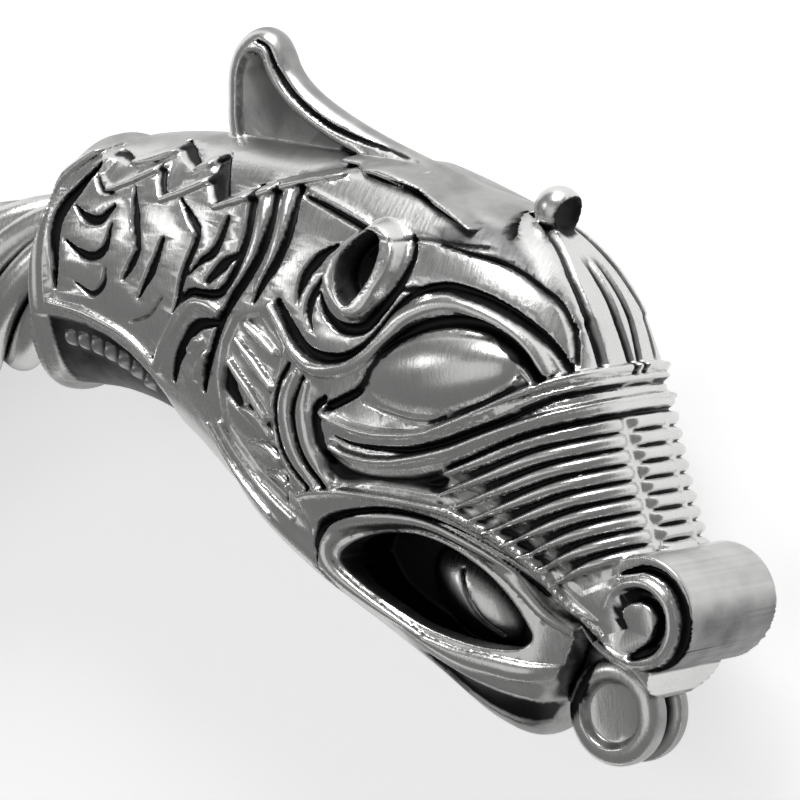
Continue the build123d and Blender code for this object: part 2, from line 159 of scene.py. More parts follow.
# Raised lines, with their widths at places evenly spaced along them
RIDGES = [
    Line("ledge_1", (1, 1.7, 1.2), 0.34, [(17.8, 13.9), (21.8, 14.3), (25.3, 14.9)]),
    Line("ledge_2", (1, 1.7, 1.4), 0.38, [(15.8, 10.4), (20.2, 11.5), (24.4, 12.6)]),
    Line("ledge_3", (1.2, 1.9, 1.6), 0.4, [(25.8, 7.8), (29.4, 8.7), (33.2, 9.6)]),
    Line("ledge_4", (1, 1.6, 1), 0.34, [(29.6, 11.4), (31.6, 12), (33.4, 12.6)]),
    Line("ledge_5", (1.4, 1.9, 1.9, 1.6, 1.2), 0.4,
         [(35.2, 5.7), (40, 6.4), (45.3, 7.2), (50.7, 7.6), (55, 7.7)]),
    Line("collar_rim", (1.2, 2, 2.4, 2.6, 2.6, 2.4), 0.42,
         [(12.4, 17.2), (9, 15.6), (5.8, 13.2), (4, 10.2), (2.9, 5.7), (1.8, 0), (0.7, -5.8),
          (-0.4, -10.7), (-2.4, -15.4)]),
    Line("first_band", (1.6, 2, 1.6), 0.14, [(43.1, 6), (42.8, 0.3), (41.1, -3.8), (38.2, -7.2)]),
    Line("second_band", (1.6, 2, 1.4), 0.16, [(46.9, 6), (46.5, 0.3), (45.3, -3.8), (43, -7.6)]),
    Line("loop_band", (1.8, 2.3, 1.8), 0.36,
         [(35.6, -9.4), (33.6, -8.2), (31.5, -7.8), (29, -8.8), (26.5, -10.9), (24, -13.2),
          (21.5, -16)]),
    Line("throat_line", (1, 1.6, 1.5, 1.2), 0.42,
         [(3.6, -4.4), (5, -5), (9.2, -6.5), (12.7, -8.3), (16.7, -10.8), (19.7, -13.8),
          (21.4, -16.6)]),
    Line("fold_bump_1", (1.2, 2, 1), 0.34, [(29.4, -14.2), (30.8, -13.2), (32, -13.2)]),
    Line("fold_bump_2", (1.2, 2, 1), 0.34, [(29.4, -18.4), (31, -16.4), (32.2, -15.2)]),
    Line("belly_rim_1", (0.8, 1.2, 0.9), 0.34,
         [(32.1, -25.1), (33.6, -29.3), (35.9, -33.4), (38.8, -36.8), (42.2, -40)]),
    Line("belly_rim_2", (0.8, 1.1, 0.8), 0.28, [(29, -25), (31, -30), (34.4, -34.8), (38, -39)]),
    Line("whisker_1", (1, 1.7, 1.2), 0.52, [(40.2, -11.7), (42.3, -13.8), (45, -16.5)]),
    Line("whisker_2", (1, 1.7, 1.4), 0.52, [(38.2, -13.6), (40.3, -16.8), (43.3, -21)]),
    Line("whisker_3", (1, 1.7, 1.4), 0.52, [(36.3, -16.6), (38.2, -20), (41.3, -25.3)]),
    Line("whisker_4", (1, 1.6, 1), 0.46, [(36.8, -23.4), (39.4, -24.8), (41.6, -28)]),
    Line("whisker_5", (1, 1.6, 1), 0.46, [(37, -28.4), (40, -29.4), (42.2, -31.4)]),
    Line("whisker_6", (1, 1.6, 1), 0.46, [(38.8, -33), (41, -33.8), (43, -35.4)]),
    Line("first_bar", (1.4, 2.4, 2.4, 1.6), 0.22,
         [(48.4, -19.6), (45.9, -23), (45.2, -27.2), (45.9, -31.3), (48.6, -35.8)]),
    Line("second_bar", (1.4, 2.2, 2.2, 1.6), 0.22,
         [(50.2, -21.4), (48.7, -24.6), (48.4, -28), (49, -31.3), (51.3, -35.4)]),
    Line("ear_fold", (0.8, 1.1, 0.9), 0.16, [(50.6, 5.8), (54.2, 3.9), (58, 1.8), (61, 0)]),
    Line("brow", (1.2, 1.7, 2.4, 2.7, 2.7, 2.6, 2.6, 2.2, 1.6), 0.42,
         [(45.3, -9.6), (47, -13), (48.5, -16), (50.6, -18.6), (53.5, -19.7), (57.5, -19.6),
          (61, -18.3), (64.5, -16.2), (68, -13.9), (72, -12.8), (76, -12.9), (80, -14.6),
          (83.5, -17), (86.5, -20.3), (88.4, -24)]),
    Line("eye_fold", (0.8, 1.5, 0.8), 0.3, [(82.3, -19.4), (84.8, -22.4), (86.6, -25.4)]),
    Line("upper_lid_bead", (1.3, 1.2, 1.2, 1.1, 1), 0.24,
         [(52.8, -25.6), (57.5, -28.3), (61.7, -29.6), (66.7, -30.2), (70, -30.2), (75, -29.2),
          (80, -28), (85, -26.5), (90, -25.3), (96, -24.7)]),
    Line("lower_lid_bead", (1.1, 1.2, 1.2, 1, 0.9), 0.24,
         [(53.4, -30.2), (55.6, -31.7), (59.2, -33), (63.3, -33.6), (68.3, -33.5),
          (73.3, -33), (78.3, -31.9), (83.3, -30.9), (89.2, -29.9), (96, -29.1)]),
    Line("inner_lip", (1, 1.8, 2.4, 2.8, 2.8, 2.7, 2.6, 2.6, 2.4, 2.2, 2, 1.6), 0.46,
         [(60.8, -58.4), (56.2, -55.2), (51, -51.2), (47.8, -47.9), (46.9, -45), (48.2, -43),
          (51.2, -41.8), (55.4, -41.4), (61, -42.2), (66.5, -44.2), (71, -47.2), (75, -50.6),
          (77.9, -54), (80.2, -57.2), (83.6, -60.6), (88, -63.6), (92.6, -65.8)]),
    Line("jaw_lip", (0.8, 2.2, 3, 3.2, 2.8, 2), 0.46,
         [(58.4, -57.2), (61.8, -59.6), (66, -61.9), (70.6, -63.4), (75.6, -65), (80.6, -66),
          (84.4, -66)]),
    Line("crest_tail", (1.2, 2, 2.2, 1.9, 1.4, 0.7), 0.6,
         [(53, 9.6), (56, 8.8), (59.6, 7.6), (63.4, 5.9), (68.3, 3.1), (73.2, -0.2), (77, -3)]),
]
RIB_COUNT = 9
RIB_WIDTHS = (0.6, 1.7, 2, 2)
RIB_HEIGHT = 0.56
FIRST_RIB = [(67.6, -37), (76.3, -35.3), (85, -33.4), (92, -32.7), (100, -32.2)]
LAST_RIB = [(85, -53), (88.4, -51.8), (92, -51), (95.8, -50.5), (102, -50.3)]
LIP_BEAD = Line("lip_bead", (0.9, 1.2, 1.4, 1.7, 1.8, 1.5), 0.3,
                [(45.5, -37), (48, -36.7), (54.2, -37.1), (60.8, -38.6), (67.3, -40.5),
                 (70.4, -41.6), (73, -43.3), (75.8, -45), (78.2, -47), (80.6, -49.3),
                 (82.6, -51.8), (84.2, -54.6), (86.2, -57.6), (88.6, -60.6)])
NICK_FROM = 0.42  # share of the bead's length where its nicks begin
NICK_ONSET = 12  # how steeply they set in there
NICK_COUNT = 26
NICK_DEPTH = 0.45  # as a share of the bead's height

# Row of pearls along the throat
PEARLS = Line("pearls", (2.2, 2.7, 2.8, 2.2), 0.5,
              [(3.4, -9.6), (7.6, -11), (11.6, -13), (14.8, -15.6), (17.6, -19)])
PEARL_COUNT = 7
PEARL_SOOT = 0.42

# Cut lines
GROOVES = [
    Line("fur_1", (0.5, 1.6, 1.7, 0.8), 0.42, [(9.9, 8.8), (12.3, 6.7), (14.8, 6.2), (17.3, 7.8)]),
    Line("fur_2", (0.5, 1.5, 1.6, 0.6), 0.4,
         [(8.2, 4.1), (10.7, 2), (13.2, 1.1), (15.7, 2.1), (17, 5.3)]),
    Line("fur_3", (0.4, 1.1, 1.3, 0.5), 0.28, [(9.3, -2.2), (12, -4.2), (14.6, -3), (15.4, -0.9)]),
    Line("fur_4", (0.5, 1.8, 1.2), 0.44, [(20.6, 10.1), (21.4, 5.6), (21.8, 1)]),
    Line("fur_5", (1.3, 1.5, 0.6), 0.42, [(21.7, 0.8), (20.1, -1.2), (18.4, -2.8)]),
    Line("fur_6", (1, 1.7, 0.5), 0.42, [(26.3, 1.9), (24.4, -1.7), (20.9, -5.8)]),
    Line("fur_7", (0.4, 1.5, 1.3), 0.44, [(29.2, 7.3), (31, 4.6), (32.4, 2.4), (32.1, 0.5)]),
    Line("fur_8", (1.3, 1.4, 0.5), 0.42, [(31.9, 0.2), (29.9, -3.3), (28.6, -6.3), (27.2, -8.7)]),
    Line("fur_9", (1.2, 1.7, 0.5), 0.44,
         [(37.3, 3.4), (36.4, 0.8), (35.1, -1), (33, -1.9), (30.8, -3.4)]),
    Line("fur_10", (0.5, 2.2, 1.2), 0.4, [(40, -1.6), (37, -2.9), (34, -4.9)]),
    Line("fur_11", (0.4, 0.9, 0.4), 0.22, [(18.4, -9), (22.3, -8.4), (25.4, -6.2)]),
    Line("back_riser_1", (1, 1.1, 0.5), 0.26, [(13.9, 15.7), (16, 14.8), (18.4, 13.5)]),
    Line("back_riser_2", (1, 1.6, 1), 0.28, [(25.1, 15.5), (27.4, 13.6), (29.7, 11.6)]),
    Line("back_riser_3", (1.6, 2.4, 2), 0.34, [(33.4, 12.4), (34.2, 9.6), (35.3, 6.6)]),
    Line("back_riser_4", (0.7, 1, 0.7), 0.3, [(24.4, 12.9), (24.9, 10.4), (25.6, 8)]),
    Line("back_riser_5", (0.6, 1, 0.5), 0.3, [(12.9, 12.4), (14.7, 10.3), (16.8, 9.9)]),
    Line("collar_groove", (1, 2, 2.6, 2.4, 1.6, 0.8), 0.62,
         [(12.6, 14.2), (10.1, 11.4), (7.8, 9.2), (6.4, 7), (6, 4.4), (5.8, 1.2),
          (5.2, -2.4)]),
    Line("mane_1", (1.5, 1.8, 1.6, 1.2), 0.48,
         [(41.2, 7.1), (41.2, 2), (40.3, -1.5), (38.6, -4.8), (36.1, -6.8), (33.4, -6.7),
          (30.9, -6.1), (28.8, -7)]),
    Line("mane_2", (1.4, 1.8, 1.7, 1.4, 1.2), 0.5,
         [(45, 6.9), (44.8, 2.4), (43.6, -1.8), (41.5, -4.9), (39, -7.4), (36.5, -10.2),
          (34.4, -13.4), (32.3, -16.8), (30.4, -20)]),
    Line("mane_3", (1.4, 1.8, 1.7, 0.7), 0.48,
         [(48.7, 6.2), (48.1, 0.5), (46.5, -3.4), (44.4, -6), (42.2, -8.8)]),
    Line("loop_shadow", (1.2, 2.2, 2, 1.2), 0.46,
         [(35.2, -11), (31.5, -10.9), (29, -12.6), (26.5, -15), (24.2, -18)]),
    Line("whisker_pit", (2, 3, 2), 0.4, [(35.6, -18), (35.2, -20.4), (36.2, -22.6)]),
    Line("back_shadow", (0.2, 0.8, 1.2, 0.9, 0.2), 0.34,
         [(62.4, 5.6), (65, 4.3), (67.4, 2.9), (69.6, 1.4), (71.4, -0.1)]),
    # crest_foot: a shallow cut, blackened as painted shade where the crest meets the skull
    Line("crest_foot", (0.5, 0.9, 0.9, 0.5), 0.28,
         [(31.6, 16.2), (37.3, 14.6), (43.8, 12.9), (49.3, 11.4), (54.1, 10.2)]),
    Line("ear_crease", (0.6, 1, 1), 0.3, [(50, 4.9), (53.8, 2.9), (57.5, 0.8), (60.4, -0.9)]),
    Line("ear_groove", (0.8, 1.6, 2, 1.8, 0.8), 0.5,
         [(68.3, -3), (68.6, -6.2), (66.9, -9.6), (64.2, -12.4), (61, -14.6), (57.4, -14.2),
          (55, -12), (53.8, -9)]),
    Line("ear_dart", (0.4, 1.2, 0.8, 0.3), 0.32, [(66.8, -10), (69.6, -10.4), (73, -10)]),
    Line("ear_crescent_1", (0.5, 2.1, 1.9, 0.4), 0.48,
         [(56.4, -2.6), (54.3, -3.6), (51.8, -5.6), (50.3, -8.2), (49.8, -10)]),
    Line("ear_crescent_2", (0.5, 1.6, 1.6, 0.5), 0.44,
         [(54.3, -6.8), (52.7, -9), (51.8, -11.2), (52.2, -13.8)]),
    Line("brow_outer", (1.4, 2, 1.8, 1.2, 1, 1.4, 1.8, 1.6, 1.4, 1), 0.5,
         [(46.6, -9.4), (48.1, -12.2), (49.5, -14.8), (51.2, -16.8), (53.8, -18), (56.7, -18.4),
          (59.6, -17.8), (62.1, -16.6), (64.6, -14.6), (66.7, -12.5), (69.2, -11), (71.7, -10.5),
          (74.6, -10.7), (77.5, -11.8), (80.8, -13.4), (84.2, -15.8), (87.1, -18.6),
          (89.2, -21.5), (90.4, -24.4)]),
    Line("brow_inner", (1.6, 1.5, 1.6, 2, 2.1, 2, 1.8, 1.4), 0.56,
         [(53.4, -24.9), (58.8, -23.3), (61.3, -21.3), (63.3, -19.4), (65.8, -17.7),
          (68.8, -16.2), (71.7, -15.5), (75.4, -15.5), (78.8, -16.2), (81.7, -17.6),
          (84.2, -19.8), (86, -22.3), (87.4, -25)]),
    Line("eye_line", (0.3, 0.8, 0.9, 0.5), 0.2,
         [(59.6, -25), (63.3, -26.8), (66.7, -28.2), (70, -28.8), (73, -28.4)]),
    Line("bar_line_1", (0.9, 1.2, 1.2, 0.9), 0.42,
         [(47.4, -18.2), (45, -20.9), (43.8, -24.3), (43.3, -28), (44, -31.3), (45.4, -33.8),
          (47, -36)]),
    Line("bar_line_2", (0.9, 1.2, 1.3, 1), 0.42,
         [(49.6, -20.4), (47.1, -24.3), (46.8, -28), (47.7, -31.8), (50.4, -36)]),
    Line("bar_pit", (1, 2, 2.2, 1.2), 0.55,
         [(53, -23.6), (51.2, -25), (50.8, -28.8), (52, -32.4)]),
    Line("lid_line", (0.5, 1.1, 1.3, 1.1, 0.9), 0.34, LID_LINE),
    Line("lid_crease", (0.3, 0.7, 0.6), 0.2, [(78, -28.6), (85, -27.1), (95, -25.7)]),
    Line("rib_crease", (0.3, 1, 1), 0.3, [(72, -35.6), (84, -32.7), (97, -31)]),
    Line("lip_line", (0.6, 1.6, 1.1, 0.8, 0.8, 0.8, 0.5), 0.4, LIP_LINE),
    Line("snout_crease_1", (0.6, 0.9, 0.4), 0.22,
         [(66.5, -3.2), (70, -3.6), (74, -4.9), (79.4, -6)]),
    Line("snout_crease_2", (0.4, 0.9, 1, 0.8), 0.28,
         [(72.5, -4.7), (76.7, -6.3), (80.8, -7.9), (84.2, -10.1), (87.1, -12.8), (89.2, -15.4),
          (90.6, -19), (91, -23.6)]),
    Line("curl_gap", (0.5, 1.1, 0.6), 0.5, [(80.2, -1.6), (80.9, -3.4), (81.9, -5)]),
    Line("lip_link", (0.3, 0.9, 0.8, 0.3), 0.4,
         [(81.2, -54.4), (82.8, -56.2), (84.4, -59.2), (86.6, -62)]),
    Line("jaw_shadow", (0.6, 2.4, 3.8, 4.4, 3), 0.34,
         [(59.6, -61.2), (64.6, -65.4), (69.6, -68.6), (74.6, -70.8), (79, -71.4)]),
    Line("jaw_end", (1.2, 1.8, 1.6), 0.5, [(83.8, -64.4), (82, -67.2), (79.6, -70.4)]),
]

# Grooves over the nose: their lines in the side view and how far off the middle plane they
# lie at each height of the side view, in mm
BRIDGE_GROOVE = Line("bridge_groove", (1.4, 4.4, 4.8, 4.4), 0.5,
                     [(88.4, -7), (91, -13), (93, -18.4), (94.4, -24)])
BRIDGE_Z = ((-24, 0.45), (-18.5, 0.65), (-13, 0.55), (-7, 0.4))
FLUTE_GROOVE = Line("flute_groove", (2, 3.6, 3.8, 3.6, 3.2), 0.5,
                    [(81.6, -2.4), (85.4, -6), (88.9, -11.4), (91.2, -16.7), (92.8, -23.2)])
FLUTE_Z = ((-23, 2.6), (-16.7, 2.65), (-11.4, 2.3), (-6, 1.5), (-2, 0.6))
FLUTE_HALF = 0.3
# Bare strip of the ribs on each side of the middle plane
BARE_FROM = 1.6
BARE_TO = 2.3
BARE_EDGE = 0.9

# Crest: its outline, and how far its rim runs in from the edge
CREST = [(33, 6), (30, 12), (29.2, 17.4), (29.7, 21.2), (30.5, 25.2), (32.3, 28.4),
         (35.2, 30.3), (38, 30.5), (40.2, 29.2), (41.4, 27), (42.3, 24), (44.2, 21.2),
         (47.4, 18.2), (52, 14.8), (57, 11.6), (62.6, 8.4), (68.8, 4.9), (74, 1), (78, -3.4),
         (72, -6), (60, -3), (46, 2)]
CREST_HALF_THICKNESS = 1.25
CREST_RIM = 3.1
CREST_RIM_EDGE = 0.7
CREST_PANEL_DEPTH = 0.5
CREST_PANEL_SOOT = 0.5
CREST_GROOVE = Line("crest_groove", (0.5, 1, 1, 0.9, 0.7, 0.5), 0.5,
                    [(37.6, 28.6), (39.2, 27.4), (40.4, 24), (43, 19.8), (47.6, 15.6),
                     (53, 12.4), (59.6, 9.4), (65.4, 6.6)])
CREST_BEAD = Line("crest_bead", (1, 1.3, 1.4, 1.4, 1.2, 0.8), 0.42,
                  [(35.6, 28), (37.6, 26.8), (39, 23.6), (42, 18.9), (46.9, 14.6), (52.4, 11.2),
                   (58.6, 8.4), (64.2, 6.3), (67.7, 3.9), (71.4, 1), (74.8, -2)])

# Eye, forelock, and the two rolls, whose radii are in mm
EYE = (71.5, -22.4)
EYE_HALF = (14.0, 6.1)
EYE_SLANT = radians(-1.5)
EYE_REACH = 8.03
EYE_HALF_DEPTH = 1.9
KNOB = (84.4, -1.9)
KNOB_RADIUS = 3.5
KNOB_HOLLOW = (87.4, -3.3)
KNOB_HOLLOW_RADIUS = 2.8
KNOB_HOLLOW_SHARE = 0.8  # of the height across the head counts for its hollow
ROLL = (97.0, -58.7)
ROLL_RADIUS = 3.3
ROLL_TRIM = 0.03  # keeps the roll inside the solid's
ROLL_HALF = 4.3
ROLL_ROUND = 0.6
SPIRAL_RISE = 0.3
SPIRAL = Line("spiral", (1.2, 2.2, 2.4, 2.2, 1.8, 1.2), 0.85,
              [(94.4, -64.4), (97.6, -63.4), (99.6, -61.2), (99.8, -58.4), (97.8, -56.3),
               (94.9, -56.2), (93.1, -58), (93.6, -60.2)])
SPIRAL_OUTSIDE = Line("spiral_outside", (1.2, 2, 2.2, 1.6, 0.6), 0.7,
                      [(95, -67), (99.6, -66.4), (102.8, -63.2), (103.8, -59), (102.2, -54.8),
                       (98.6, -52.6), (94.4, -52.8)])
SPIRAL_EDGE = Line("spiral_edge", (0.5, 1, 0.9, 0.5), 0.3,
                   [(93.4, -53), (90.4, -55), (89.2, -58), (90, -60.8)])
SPIRAL_RING = Line("spiral_ring", (0.9, 1.4, 1.6, 1.6, 1.5, 1.1), 0.3,
                   [(88.8, -61.6), (91.6, -64), (95.2, -65.2), (98.8, -64.6), (101, -62),
                    (101.4, -58.4), (99.6, -55.4), (96.4, -54.2), (93, -55), (91, -57.4)])
TONGUE = (85.2, -72.2)
TONGUE_RADIUS = 3.1
TONGUE_TRIM = 0.05
TONGUE_HALF = 1.95
TONGUE_ROUND = 0.8
TONGUE_DISH = 0.60
TONGUE_DISH_DEPTH = 0.65
TONGUE_GROOVE_HALF = 0.5
TONGUE_GROOVE_DEPTH = 0.9

# Inside of the mouth: its opening, the wider hollow behind the lips, half the hollow's width
# at places along the head, the wall down its middle and the rounded tongue on that wall
OPENING = [(49.2, -46.6), (51.2, -44.5), (54.9, -43.6), (60.3, -44.1), (65.9, -46.4),
           (70.5, -49.6), (73.2, -52.2), (75.4, -55.2), (76.8, -58), (77.4, -60.4),
           (75.6, -61.6), (72.2, -61.3), (68.4, -60.3), (64.2, -58.6), (60.7, -56.8),
           (57.1, -54.2), (52.6, -50.6)]
MOUTH = [(49.6, -46.6), (51, -43.6), (55, -42.6), (60.5, -43), (66.4, -45.2), (71.2, -48.4),
         (75, -52), (77.8, -56), (79.4, -60.6), (77.6, -63), (73, -63.2), (68.6, -62.2),
         (64, -60.2), (60, -57.8), (55.6, -54.8), (51.4, -51)]
MOUTH_PLACES = (46, 52, 60, 70, 78, 85)
MOUTH_HALVES = (3.4, 4.2, 4.0, 3.2, 2.6, 1.8)
WEB = [(44, -40), (62, -40), (80, -50), (88, -59), (84, -72), (68, -68), (56, -60), (46, -50)]
WEB_HALF = 0.9
TONGUE_CREASE = Line("tongue_crease", (0.4, 0.7, 0.7, 0.4), 0.2,
                     [(63.6, -50), (64.1, -52.6), (65, -55), (66.4, -57.4), (68.6, -59.8)])
TONGUE_BODY = (64.2, -54.3)
TONGUE_BODY_HALF = (9.8, 5.8)
TONGUE_BODY_SLANT = radians(-48)
TONGUE_BODY_DEPTH = 2.5

# Fillets where one form of the head meets another, in mm
JAW_FILLET = 0.3
CREST_FILLET = 0.35
EYE_FILLET = 0.08
KNOB_FILLET = 0.15
MOUTH_FILLET = 0.3
TONGUE_BODY_FILLET = 0.2
ROLL_FILLET = 0.12

# How hollow a point lies is the filled share of a box round it: the box's half width, and how
# far its middle stands over the surface, in mm
FINE_HOLLOW = (0.45, 0.1)
WIDE_HOLLOW = (1.2, 0.2)

# How much painted shade darkens the back, belly and jaw, and the low side of the nose roll
PAINTED_SHADE_SHARE = 0.5
ROLL_PAINTED_SHADE_SHARE = 0.6


# Fields of the side view, over a grid of places in percent of the head's length

SECTION_COUNT = 240  # sections between the rows of a table of sections
SECTION_CHUNK = 20000  # places that are worked out at a time
NO_SECTION = 9  # share of places that no section meets
OPEN_RUNS = 8  # straight runs between two points of a line
CLOSED_RUNS = 6  # and of a closed outline
LINE_ROUNDNESS = 0.6  # lower is boxier

mm_x = np.arange(LOW_CORNER[0], HIGH_CORNER[0], STEP, dtype=np.float32)
mm_y = np.arange(LOW_CORNER[1], HIGH_CORNER[1], STEP, dtype=np.float32)
mm_z = (np.arange(int(HALF_DEPTH / STEP), dtype=np.float32) + 0.5) * STEP
place_x = mm_x / UNIT
place_y = mm_y / UNIT
grid_x, grid_y = np.meshgrid(place_x, place_y, indexing="ij")


def eased(share):
    """A smooth step from 0 to 1."""
    share = np.clip(share, 0, 1)
    return share * share * (3 - 2 * share)


def fade(value, start, end):
    """A smooth step from 0 where the value is start to 1 where it is end."""
    return eased((value - start) / (end - start))


def inside_edge(distance, width):
    """A smooth step across an edge: 1 inside, where the distance is over 0, and 0 outside."""
    return eased(distance / width + 0.5)


def smooth_rows(table, count):
    """Rows between the rows of a table, on a smooth curve through them."""
    rows = np.array(table, float)
    ends = np.vstack([2 * rows[0] - rows[1], rows, 2 * rows[-1] - rows[-2]])
    place = np.linspace(0, len(rows) - 1, count)
    i = np.clip(place.astype(int), 0, len(rows) - 2)
    f = (place - i)[:, None]
    p0, p1, p2, p3 = ends[i], ends[i + 1], ends[i + 2], ends[i + 3]
    return 0.5 * (2 * p1 + (p2 - p0) * f + (2 * p0 - 5 * p1 + 4 * p2 - p3) * f ** 2
                  + (3 * p1 - p0 - 3 * p2 + p3) * f ** 3)


def section_maps(table):
    """For each place: its share of the section's half height, that half height and the half
    width in mm, and how boxy the section is there."""
    rows = smooth_rows(table, SECTION_COUNT).astype(np.float32)
    top, low = rows[:, 0:2], rows[:, 2:4]
    mid, span = (top + low) / 2, (top - low) / 2
    half = np.hypot(span[:, 0], span[:, 1])
    along = span / half[:, None]
    px, py = grid_x.ravel(), grid_y.ravel()
    maps = np.zeros((4, px.size), np.float32)
    for start in range(0, px.size, SECTION_CHUNK):
        part = slice(start, start + SECTION_CHUNK)
        dx = px[part, None] - mid[None, :, 0]
        dy = py[part, None] - mid[None, :, 1]
        side = along[None, :, 0] * dy - along[None, :, 1] * dx
        share = (along[None, :, 0] * dx + along[None, :, 1] * dy) / half[None, :]
        crossed = side[:, :-1] * side[:, 1:] <= 0
        cost = np.where(crossed, np.abs(share[:, :-1]), 1000)
        k = cost.argmin(1)
        each = np.arange(k.size)
        met = cost[each, k] < 3
        before, after = side[each, k], side[each, k + 1]
        f = np.clip(before / (before - after + 1e-12), 0, 1)

        def between(values):
            return values[k] + (values[k + 1] - values[k]) * f

        found = share[each, k] + (share[each, k + 1] - share[each, k]) * f
        maps[0, part] = np.where(met, found, NO_SECTION)
        maps[1, part] = between(half) * UNIT
        maps[2, part] = between(rows[:, 4]) * HALF_WIDTH
        maps[3, part] = np.where(found > 0, between(rows[:, 5]), between(rows[:, 6]))
    return maps.reshape(4, *grid_x.shape)


def body_distance(maps, z):
    """Distance in mm to a body of those sections at height z, below 0 inside."""
    share, half, width, boxy = maps
    across = z / width
    up = np.abs(share)
    reach = np.maximum((across ** boxy + up ** boxy) ** (1 / boxy), 0.05)
    slope_z = (across / reach) ** (boxy - 1) / width
    slope_n = (up / reach) ** (boxy - 1) / half
    return (reach - 1) / np.hypot(slope_z, slope_n)


def near_line(points, reach):
    """Distance of each place to a line of points, and the share of its length there."""
    points = np.array(points, float)
    distance = np.full(grid_x.shape, 99, np.float32)
    share = np.zeros(grid_x.shape, np.float32)
    steps = np.hypot(*np.diff(points, axis=0).T)
    ends = np.concatenate([[0], np.cumsum(steps)]) / max(steps.sum(), 1e-9)
    for i in range(len(points) - 1):
        a, b = points[i], points[i + 1]
        low, high = np.minimum(a, b) - reach, np.maximum(a, b) + reach
        i0, i1 = np.searchsorted(place_x, [low[0], high[0]])
        j0, j1 = np.searchsorted(place_y, [low[1], high[1]])
        if i0 == i1 or j0 == j1 or steps[i] < 1e-6:
            continue
        dx = place_x[i0:i1, None] - a[0]
        dy = place_y[None, j0:j1] - a[1]
        d = b - a
        f = np.clip((dx * d[0] + dy * d[1]) / (d @ d), 0, 1)
        away = np.hypot(dx - f * d[0], dy - f * d[1])
        closer = away < distance[i0:i1, j0:j1]
        distance[i0:i1, j0:j1][closer] = away[closer]
        share[i0:i1, j0:j1][closer] = (ends[i] + (ends[i + 1] - ends[i]) * f)[closer]
    return distance, share


def closed_line(points):
    """A closed outline on a smooth curve through its points."""
    ring = smooth_rows(points[-2:] + points + points[:3], CLOSED_RUNS * (len(points) + 4) + 1)
    first = 2 * CLOSED_RUNS
    return [tuple(point) for point in ring[first:first + CLOSED_RUNS * len(points)]]


def line_map(line):
    """Height of a rounded line over the surface, and the share of its length."""
    path = smooth_rows(line.path, OPEN_RUNS * (len(line.path) - 1) + 1)
    distance, share = near_line(path, max(line.widths) / 2 + 0.3)
    stations = np.linspace(0, 1, len(line.widths))
    half = np.maximum(np.interp(share, stations, line.widths) / 2, 0.01)
    inside = np.clip(1 - (distance / half) ** 2, 0, 1)
    return line.height * inside ** LINE_ROUNDNESS, share


def highest(*lines):
    """Height at each place of the highest of some rounded lines."""
    return np.maximum.reduce([line_map(line)[0] for line in lines])


def inside_outline(outline):
    """Whether each place lies inside a closed outline."""
    inside = np.zeros(grid_x.shape, bool)
    for (ax, ay), (bx, by) in zip(outline, outline[1:] + outline[:1]):
        if ay == by:
            continue
        spans = (grid_y > min(ay, by)) & (grid_y <= max(ay, by))
        inside ^= spans & (grid_x < ax + (grid_y - ay) * (bx - ax) / (by - ay))
    return inside


def outline_distance(outline, reach):
    """Distance to a closed outline, over 0 inside, exact up to reach."""
    distance, _ = near_line(outline + outline[:1], reach)
    distance = np.minimum(distance, reach)
    return np.where(inside_outline(outline), distance, -distance)


def from_centre(centre):
    """Distance in mm of each place from a centre."""
    return np.hypot(grid_x - centre[0], grid_y - centre[1]) * UNIT


def turned(centre, slant):
    """How far each place lies along and beside a slanted axis through a centre."""
    dx, dy = grid_x - centre[0], grid_y - centre[1]
    return dx * cos(slant) + dy * sin(slant), dy * cos(slant) - dx * sin(slant)


def waves(share, count):
    """Notches evenly spaced along a line: 0 on a tooth and 1 between two."""
    return 0.5 + 0.5 * np.cos(share * 2 * np.pi * count)


def relief():
    """Height of the carving over the skin at each place, and how black it is there."""
    steps = np.zeros(grid_x.shape, np.float32)
    black = np.zeros(grid_x.shape, np.float32)
    for plate in PLATES:
        outline = closed_line(plate.outline) if plate.curved else plate.outline
        share = inside_edge(outline_distance(outline, plate.edge), plate.edge)
        steps += plate.height * share
        # patina on sunken plates, and painted shade on the forehead
        black = np.maximum(black, plate.soot * share)
    bead, share = line_map(LIP_BEAD)
    nicks = NICK_DEPTH * waves(share / (1 - NICK_FROM), NICK_COUNT)
    bead *= 1 - nicks * eased((share - NICK_FROM) * NICK_ONSET)
    pearls, share = line_map(PEARLS)
    raised = np.maximum.reduce([highest(*RIDGES), bead,
                                pearls * (1 - waves(share, PEARL_COUNT))])
    black *= 1 - fade(raised, 0, 0.2)
    cut = highest(*GROOVES)
    black = np.maximum.reduce([black, fade(cut, 0.1, 0.28), PEARL_SOOT * fade(pearls, 0, 0.2)])
    return steps + raised - cut, black


def rib(share):
    """One rib of the snout, at a share of the way from the first to the last."""
    path = [(a[0] + (b[0] - a[0]) * share, a[1] + (b[1] - a[1]) * share)
            for a, b in zip(FIRST_RIB, LAST_RIB)]
    return Line("rib", RIB_WIDTHS, RIB_HEIGHT, path)


# Maps of the side view that the carving of a head reads: the skin and its relief
skull_maps = section_maps(SKULL)
jaw_maps = section_maps(JAW)
carving, carving_black = relief()
ribs = highest(*[rib(i / (RIB_COUNT - 1)) for i in range(RIB_COUNT)])
bridge_cut = highest(BRIDGE_GROOVE)
bridge_z = np.interp(grid_y, *zip(*BRIDGE_Z))
flute_cut = highest(FLUTE_GROOVE)
flute_z = np.interp(grid_y, *zip(*FLUTE_Z))

